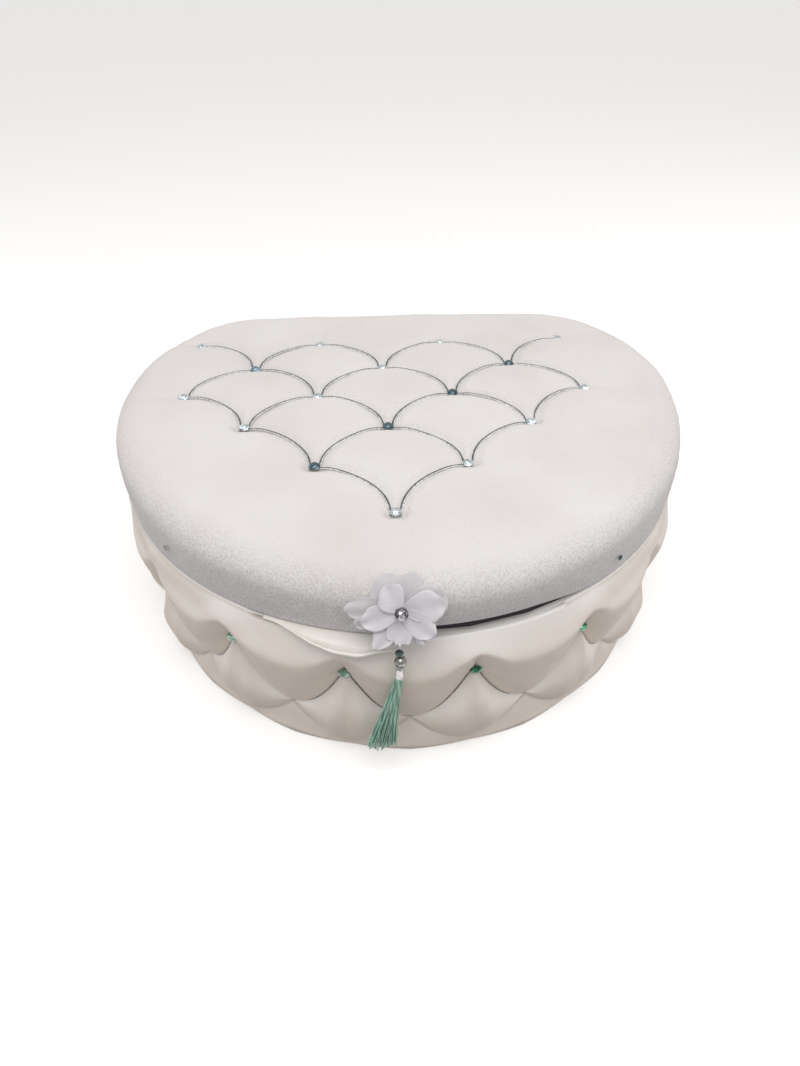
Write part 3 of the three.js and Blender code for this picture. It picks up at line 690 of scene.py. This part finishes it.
# over the seat and up into the lid: inset and height over the seat, or over the rim
seatSteps = [(2.0, -0.7), (4.0, -0.05), (9.4, -0.05)]
rimSteps = [(9.7, -1.6), (10.6, -0.4), (12, -0.05), (tufts["innerWall"], -0.05)]
softness = {
    "fan": (0.7, 0.55),  # pleats at an upper and at a lower button
    "fanTurns": 2.2, "fanReach": 16, "fanStart": 4,
    "swell": 1.0, "swellSize": 34, "wrinkle": 0.35, "wrinkleSize": 11,
}
pitch = outlineLength / tufts["count"]
upperButtons = heights["seat"] - tufts["topDrop"]
lowerButtons = upperButtons - tufts["row"]
seatEdge = heights["seat"] - tufts["seatRound"]
lastButton = math.floor(backCorner / pitch - 0.5) - 0.5


# Where a column stands between the buttons: 0 over a lower one, 1 over an upper one.
def tuftShare(along):
    return abs(signedAlong(along) / pitch - round(signedAlong(along) / pitch)) * 2


def tuftFade(along):
    return 1 - smoothstep(abs(signedAlong(along)), backCorner - pitch / 2, backCorner + pitch / 8)


def bodyHeights(along):
    share, fade = tuftShare(along), tuftFade(along)
    fold = mix(lowerButtons, upperButtons - tufts["row"] * sag(share), fade)
    lowFold = mix(lowerButtons * 0.5, lowerButtons - tufts["lowDrop"] * sag(1 - share), fade)
    return fold, min(lowFold, fold - 0.05)


def sideInset(along):  # the body is a little narrower than the lid at its left and right
    return tufts["sideNarrow"] * outward(along).x ** 2


# Each column runs from the foot out over a low cell, in to the fold, and out over the roll to the lid.
def bodyInset(along, height):
    return tuftInset(along, height) + sideInset(along) * smoothstep(heights["seat"] - height, 0, 20)


def tuftInset(along, height):
    share, fade = tuftShare(along), tuftFade(along)
    fold, lowFold = bodyHeights(along)
    atButton = math.exp(-((1 - share) * pitch / 2 / tufts["buttonReach"]) ** 2) * fade
    bulge = mix(tufts["bulge"], tufts["buttonBulge"], atButton)
    fullest = mix(tufts["fullest"], tufts["buttonFullest"], atButton)
    crease = mix(tufts["backCrease"], mix(tufts["crease"], tufts["buttonCrease"], atButton), fade)
    if height >= fullest:
        return mix(-bulge, tufts["seatInset"], min((height - fullest) / (seatEdge - fullest), 1) ** 1.35)
    if height >= fold:
        down = (fullest - height) / (fullest - fold)
        curl = mix(0.3, 0.08, atButton)
        rise = down ** mix(1.3, 1.05, atButton)
        return mix(-bulge, crease, mix(rise, 1 - math.sqrt(1 - down * down), curl))
    if height >= lowFold:
        # away from the fold the cell rounds over what would be a sharp edge below the button
        rounded = math.hypot(1 - share, tufts["cellRound"]) - tufts["cellRound"] * share
        softFold = upperButtons - tufts["row"] * sag(1 - rounded)
        fold = mix(fold, min(fold, softFold), smoothstep(fold - height, 0, 10) * fade)
        down = min(max((fold - height) / max(fold - lowFold, 1), 0), 1)
        full = min(1, (fold - lowFold) / tufts["fullCell"]) * fade
        return crease - tufts["cellBulge"] * full * math.sin(math.pi * down ** 0.9) ** 0.75
    down = (lowFold - height) / (lowFold - tufts["bottom"])
    return mix(crease, mix(tufts["foot"], tufts["cellFoot"], share), max(down, 0) ** 0.6)


# Small pleats that fan out from the buttons, and the unevenness of hand-tufted foam.
def bodyRipple(along, height):
    place = signedAlong(along)
    fade = tuftFade(along)
    upper = (math.floor(place / pitch) + 0.5) * pitch
    lower = round(place / pitch) * pitch
    total = 0.0
    for centre, level, strength in zip((upper, lower), (upperButtons, lowerButtons), softness["fan"]):
        dx, dz = place - centre, height - level
        away = math.hypot(dx, dz)
        angle, turns = math.atan2(dz, dx), softness["fanTurns"]
        fan = ripple((math.cos(angle) * turns, math.sin(angle) * turns, centre), 1.0, 2)
        strength *= math.exp(-away / softness["fanReach"]) * min(away / softness["fanStart"], 1)
        total += strength * fan * 2
    spot = (place, height, 0)
    return (total * fade + ripple(spot, softness["swellSize"]) * softness["swell"]
            + ripple(spot, softness["wrinkleSize"], 4) * softness["wrinkle"])


def bodyColumns():
    columns = []
    half = tufts["columns"]
    for tuft in range(tufts["count"]):
        for step in range(-half + 1, half + 1):
            reach = pitch / 2 * math.sin(abs(step) / half * math.pi / 2)
            columns.append(tuft * pitch + math.copysign(reach, step))
    return columns


def seatDent(along):
    return sum(depth * plateau(signedAlong(along), *span) for depth, *span in dents)


def bodyPad():
    columns = bodyColumns()
    ladder = []
    for along in columns:
        fold, lowFold = bodyHeights(along)
        rows = [mix(tufts["bottom"], lowFold, step / tufts["footRows"]) for step in range(tufts["footRows"])]
        rows += [mix(lowFold, fold, 0.5 - 0.5 * math.cos(math.pi * step / tufts["middleRows"]))
                 for step in range(tufts["middleRows"])]
        rows += [mix(fold, seatEdge, (step / tufts["upperRows"]) ** 1.25)
                 for step in range(tufts["upperRows"] + 1)]
        ladder.append(rows)
    bottom, footEdge = tufts["bottom"], tufts["footInset"] + tufts["footTuck"]
    rings = [[beside(along, tufts["innerWall"], bottom) for along in columns],
             [beside(along, footEdge + sideInset(along), bottom) for along in columns]]
    for row in range(len(ladder[0])):
        ring = []
        for along, levels in zip(columns, ladder):
            height = levels[row]
            calm = smoothstep(seatEdge - height, 0, 12) * smoothstep(height, 0, 10)
            ring.append(beside(along, bodyInset(along, height) - bodyRipple(along, height) * calm, height))
        rings.append(ring)
    for inset, rise in seatSteps:
        rings.append([beside(along, inset, heights["seat"] + rise - seatDent(along)) for along in columns])
    for inset, rise in rimSteps:
        rings.append([beside(along, inset, heights["seat"] + heights["rim"] + rise) for along in columns])
    piece = addPiece("bodyPad", ringSkin(rings, ends="bridged"), bodyVelvet, stands=["body_padding"])


bodyPad()
print("body pad done")


foldCord = {"radius": 0.4, "steps": 24, "proud": 0.9, "sink": 0.9, "below": 0.5}
buttonStone = {"radius": 2.4, "height": 2.6, "facets": 10, "stretch": 1.7, "proud": 3.4, "below": 1.6,
               "lean": 0.45}


def bodyCord():
    path = []
    for half in range(round(-lastButton * 2), round(lastButton * 2)):
        for step in range(foldCord["steps"]):
            turn = step / foldCord["steps"] * math.pi / 2
            # from an upper button, or from a lower one, to its neighbour
            share = 1 - math.cos(turn) if half % 2 else math.sin(turn)
            along = (half + share) * pitch / 2
            fold, _ = bodyHeights(along)
            # it sinks into the pile towards a lower button
            sunk = foldCord["sink"] * smoothstep(tuftShare(along), 0.75, 0.15)
            inset = bodyInset(along, fold) - bodyRipple(along, fold) - foldCord["proud"] + sunk
            path.append(beside(along, inset, fold - foldCord["below"]))
    # the fold cord takes the darker copy of the silver twist: painted shade of the crease it lies in
    addThreads("bodyCord", [path], foldCord["radius"], shadedTwist, ["body_cord"])


bodyCord()


def bodyStones():
    shape = buttonStone
    for number in range(1, int(lastButton * 2) + 2):
        along = (number - 1 - lastButton) * pitch
        way = (outward(along) + Vector((0, 0, shape["lean"]))).normalized()
        inset = bodyInset(along, upperButtons) - shape["proud"]
        place = beside(along, inset, upperButtons - shape["below"])
        finish = {6: mintStone, 7: greenStone}.get(number, mintStone if number % 2 else greenStone)
        bm = stoneMesh(place, way, shape["radius"], shape["height"], shape["facets"], shape["stretch"])
        addPiece(f"bodyStone{number:02d}", bm, finish, smooth=False, stands=[f"body_stone_{number:02d}"])


bodyStones()
print("body cord and stones done")


flower = {"shift": -5, "drop": 30, "gap": 2.4, "tilt": 0.45, "bend": 0.03, "beadRadius": 4, "beadLift": 8.4}
flowerMiddle = Vector((flower["shift"], frontY - flower["gap"], lidTop - flower["drop"]))


# A point of the flower: to its right, up it, and lifted towards its front. Above its middle it bends back.
def flowerPoint(side, up, lift):
    bend = flower["bend"] * max(up, 0)
    way, facing = flower["tilt"] + bend / 2, flower["tilt"] + bend
    return (flowerMiddle + Vector((side, up * math.sin(way), up * math.cos(way)))
            + Vector((0, -math.cos(facing), math.sin(facing))) * lift)


# angle in degrees, length, half width, lift at the base and at the tip, how far the sides stand up, and the
# tear of the tip
petals = [
    ("backUpperLeft", 122, 22.5, 10.5, 1.0, 1.5, 0.6, 0, backOrganza),
    ("backUpperRight", 66, 22.0, 8.5, 1.0, 1.5, 0.6, 0, backOrganza),
    ("backLeft", 177, 32.0, 7.0, 1.2, 2.0, 0.8, 0, backOrganza),
    ("backLowerLeft", 196, 28.0, 6.5, 0.8, 1.5, 0.5, 0, backOrganza),
    ("backRight", 12, 26.5, 10.5, 1.2, 3.0, 1.0, 0, backOrganza),
    ("right", 6, 24.5, 9.0, 2.0, 4.2, 1.2, 0, frontOrganza),
    ("lowerRight", -38, 23.5, 7.6, 2.6, 4.4, 1.0, 0, frontOrganza),
    ("frayed", -62, 24.5, 4.4, 1.8, 3.5, 0.6, 0.4, frontOrganza),
    ("torn", -96, 20.5, 7.4, 3.0, 4.8, 0.9, 0.12, frontOrganza),
    ("lowerLeft", -126, 26.5, 6.0, 2.2, 4.4, 1.0, 0, frontOrganza),
    ("left", -166, 23.5, 7.2, 3.2, 5.2, 1.1, 0, frontOrganza),
    ("upperLeft", 128, 15.5, 8.0, 3.4, 5.6, 1.2, 0, frontOrganza),
]


petalCut = {
    "neck": 0.16,  # width where it is gathered
    "roundEnd": 0.2, "tornEnd": 0.4,  # how far the end rounds back, and the share of it on a torn petal
    "wave": 0.7, "ruffle": 0.5, "cloth": 0.12,
    "outerFrom": 22.9,  # the longer petals belong to the outer ring
}


def petalPiece(number, name, angle, length, halfWidth, base, tip, cup, tear, finish):
    bm = bmesh.new()
    bmesh.ops.create_grid(bm, x_segments=16, y_segments=22, size=0.5)
    turn = math.radians(angle)
    for vert in bm.verts:
        across, share = vert.co.x * 2, vert.co.y + 0.5
        reach = share
        if tear:
            reach = share * (1 - tear * abs(ripple((across * 2.2, number, 0), 0.7, 5)) * 2.2 * share ** 3)
        # narrow where it is gathered, fullest past the middle, with a round end
        belly = math.sin(math.pi * min(share, 0.98) ** 1.15 * 0.82) ** 0.7
        width = halfWidth * mix(petalCut["neck"], 1, belly)
        rounding = petalCut["roundEnd"] * (petalCut["tornEnd"] if tear else 1)
        out = length * reach * (1 - rounding * across * across * share ** 3)
        lift = base + (tip - base) * share ** 1.6 + cup * across * across * math.sin(math.pi * share ** 0.8)
        lift += petalCut["wave"] * math.sin(across * 5 + number) * share * share
        lift += petalCut["ruffle"] * ripple((out, across * 6, number), 6, 6)
        aside = width * across
        side = math.cos(turn) * out - math.sin(turn) * aside
        up = math.sin(turn) * out + math.cos(turn) * aside
        vert.co = flowerPoint(side, up, lift) * mm
    bmesh.ops.recalc_face_normals(bm, faces=bm.faces)
    outer = finish is backOrganza or length > petalCut["outerFrom"]
    old = "flower_petals_outer" if outer else "flower_petals_inner"
    piece = addPiece(f"petal_{name}", bm, finish, stands=[old])
    wall = piece.modifiers.new("cloth", "SOLIDIFY")
    wall.thickness = petalCut["cloth"] * mm


for number, petal in enumerate(petals):
    petalPiece(number, *petal)


def flowerBead():
    bm = bmesh.new()
    bmesh.ops.create_icosphere(bm, subdivisions=2, radius=flower["beadRadius"] * mm,
                               matrix=Matrix.Translation(flowerPoint(0, 0, flower["beadLift"]) * mm))
    addPiece("flowerBead", bm, platedBead, smooth=False, stands=["flower_bead"])


flowerBead()
print("flower done")


tassel = {
    "planeY": frontY - 12.3, "x": -6, "aside": -0.5, "collarTop": lidTop - 66.5,
    "stoneRadius": 2.7, "stoneHeight": 2.6, "stoneFacets": 8, "stoneRise": 12.2,
    "beadRise": 4.8, "beadSides": 10, "collarLength": 7, "collarRadius": 2.6, "collarSides": 20,
    "length": 61, "lean": 12, "spread": 9.3, "depth": 4.2, "strands": 85, "strand": 0.42, "steps": 12,
}
# radius and height: the faceted bead from its foot up, and the wrapped collar from its top down
beadProfile = [(0.5, -4.5), (1.7, -3.8), (2.9, -2.2), (3.6, 0.2), (3.5, 2.0), (2.6, 3.6), (1.2, 4.4),
               (0.4, 4.5)]
collarProfile = [(0.6, 0), (1.5, -0.2), (2.0, -1.0), (1.8, -1.6), (2.1, -2.2), (1.9, -2.8), (2.3, -3.4),
                 (2.1, -4.2), (2.5, -5.0), (2.6, -6.9), (0.8, -7)]


def turned(profile, sides, middle):
    turns = [corner / sides * math.tau for corner in range(sides)]
    return ringSkin([[middle + Vector((radius * math.cos(turn), radius * math.sin(turn), rise))
                      for turn in turns] for radius, rise in profile])


def tasselHead():
    x, y, top = tassel["x"], tassel["planeY"], tassel["collarTop"]
    stone = stoneMesh(Vector((x + tassel["aside"], y + 1, top + tassel["stoneRise"])), Vector((0, -1, 0.25)),
                      tassel["stoneRadius"], tassel["stoneHeight"], tassel["stoneFacets"])
    addPiece("tasselStone", stone, deepStone, smooth=False, stands=["tassel_stone"])
    bead = turned(beadProfile, tassel["beadSides"], Vector((x, y, top + tassel["beadRise"])))
    addPiece("tasselBead", bead, platedCap, smooth=False, stands=["tassel_bead"])
    collar = turned(collarProfile, tassel["collarSides"], Vector((x + tassel["aside"], y, top)))
    addPiece("tasselCollar", collar, platedCollar, stands=["tassel_collar"])


def tasselSkirt():
    start = Vector((tassel["x"] + tassel["aside"], tassel["planeY"],
                    tassel["collarTop"] - tassel["collarLength"] + 0.6))
    narrow = tassel["collarRadius"] * 0.8
    paths = []
    for strand in range(tassel["strands"]):
        angle = strand * goldenAngle
        reach = math.sqrt((strand + 0.5) / tassel["strands"])
        cos, sin = math.cos(angle), math.sin(angle)
        wave = random.uniform(-1, 1)
        long = tassel["length"] * random.uniform(0.93, 1.02)
        path = []
        for step in range(tassel["steps"] + 1):
            down = step / tassel["steps"]
            spread = mix(narrow, tassel["spread"], down ** 1.25)
            depth = mix(narrow, tassel["depth"], down)
            path.append(start + Vector((
                -tassel["lean"] * down + cos * reach * spread + 0.5 * wave * math.sin(down * 5 + angle),
                sin * reach * depth + 0.4 * wave * math.sin(down * 7), -long * down)))
        paths.append(path)
    addThreads("tasselSkirt", paths, tassel["strand"], mintSilk, ["tassel_skirt"])


tasselHead()
tasselSkirt()
print("tassel done")


satinFold = {"from": -90, "to": -8, "drop": 6.5, "swell": 1.6, "cloth": 0.4}
# From under the lid, out over the roll, down its face and back up in a rolled edge. Each point has its inset
# where hardly any satin shows and where it is full, its height over the seat, how much lower it is where it is
# full, and its share of the drop.
satinTrack = [
    (6.5, 6.5, -0.5, 0, 0), (3.0, 3.0, -0.5, 0, 0), (0.6, 0.6, -0.6, 0.4, 0), (0.4, -3.5, -0.6, 1.6, 0),
    (0.3, -6.0, -0.6, 0, 0.4), (0.2, -7.6, -0.6, 0, 0.7), (0.1, -8.6, -0.6, 0, 0.95),
    (-0.3, -10.2, -0.4, 0, 0.95), (-0.3, -10.4, -0.2, 0, 0.8), (0, -9.0, 0, 0, 0.7),
]


def satinPiece():
    bm = bmesh.new()
    bmesh.ops.create_grid(bm, x_segments=90, y_segments=40, size=0.5)
    for vert in bm.verts:
        share, down = vert.co.x + 0.5, vert.co.y + 0.5
        along = mix(satinFold["from"], satinFold["to"], share)
        full = smoothstep(share, 0.05, 0.62) * (1 - 0.3 * smoothstep(share, 0.72, 1))
        drop = satinFold["drop"] * max(full, 0.02)
        track = [(mix(low, high, full), heights["seat"] + rise - lower * full - drop * part)
                 for low, high, rise, lower, part in satinTrack]
        at = down * (len(track) - 1)
        place = min(int(at), len(track) - 2)
        inset = mix(track[place][0], track[place + 1][0], at - place)
        height = mix(track[place][1], track[place + 1][1], at - place)
        swell = ripple((along, height * 1.5, 0), 13, 8) * satinFold["swell"] * full
        swell *= smoothstep(down, 0.25, 0.5)
        vert.co = beside(along, inset - swell, height) * mm
    bmesh.ops.recalc_face_normals(bm, faces=bm.faces)
    piece = addPiece("satinFold", bm, satin, stands=["satin_fold"])
    wall = piece.modifiers.new("cloth", "SOLIDIFY")
    wall.thickness = satinFold["cloth"] * mm
    smoother = piece.modifiers.new("soften", "SUBSURF")
    smoother.levels = smoother.render_levels = 1


satinPiece()
print("satin done")


def refinish(names, material):
    for name in names:
        mesh = nodes[name].data
        mesh.materials.clear()
        mesh.materials.append(material)


refinish(["body_shell", "lid_shell"], blackBoard)
refinish(["body_lining", "lid_lining"], satin)
refinish(["tassel_thread"], silverTwist)
refinish(["lid_stud_left"], platedCap)
refinish(["lid_stud_right"], deepStone)


studio = {
    "floor": "#f6f6f6", "floorSize": 30, "floorGlow": 0.25, "room": "#fffdfb",
    "dark": 0.37, "bright": 0.64,  # strength of the room's light from below and from above
    "lamps": (  # name, place in metres, size, watts
        ("overhead", (0.0, -0.55, 1.45), 1.2, 9.0),
        ("left", (-1.5, 0.1, 0.7), 0.8, 3.0),
        ("right", (1.5, 0.1, 0.7), 0.8, 4.8),
    ),
}


def addStudio():
    bm = bmesh.new()
    bmesh.ops.create_grid(bm, x_segments=2, y_segments=2, size=studio["floorSize"])
    mesh = bpy.data.meshes.new("floor")
    bm.to_mesh(mesh)
    bm.free()
    floor = bpy.data.objects.new("floor", mesh)
    bpy.context.scene.collection.objects.link(floor)
    mesh.materials.append(startMaterial("white paper", {
        "Roughness": 0.9, "Specular IOR Level": 0.1, "Base Color": toLinear(studio["floor"]),
        "Emission Color": (1, 1, 1, 1), "Emission Strength": studio["floorGlow"]})[0])
    floor.visible_diffuse = False

    world = bpy.data.worlds.new("studio")
    bpy.context.scene.world = world
    world.use_nodes = True
    tree = world.node_tree
    way = addNode(tree, "ShaderNodeSeparateXYZ", {}, {}, {
        "Vector": addNode(tree, "ShaderNodeTexCoord").outputs["Generated"]})
    strength = addRange(tree, way.outputs["Z"], -0.3, 0.8, studio["dark"], studio["bright"], "SMOOTHSTEP")
    background = tree.nodes["Background"]
    background.inputs["Color"].default_value = toLinear(studio["room"])
    tree.links.new(strength, background.inputs["Strength"])

    for name, place, size, power in studio["lamps"]:
        data = bpy.data.lights.new(name, "AREA")
        data.shape = "DISK"
        data.size = size
        data.energy = power
        lamp = bpy.data.objects.new(name, data)
        bpy.context.scene.collection.objects.link(lamp)
        lamp.location = place
        lamp.rotation_euler = (Vector((0, 0, 0.1)) - Vector(place)).to_track_quat("-Z", "Y").to_euler()

    view = bpy.context.scene.view_settings
    view.view_transform = "Standard"
    view.look = "None"


addStudio()
print("studio ready")
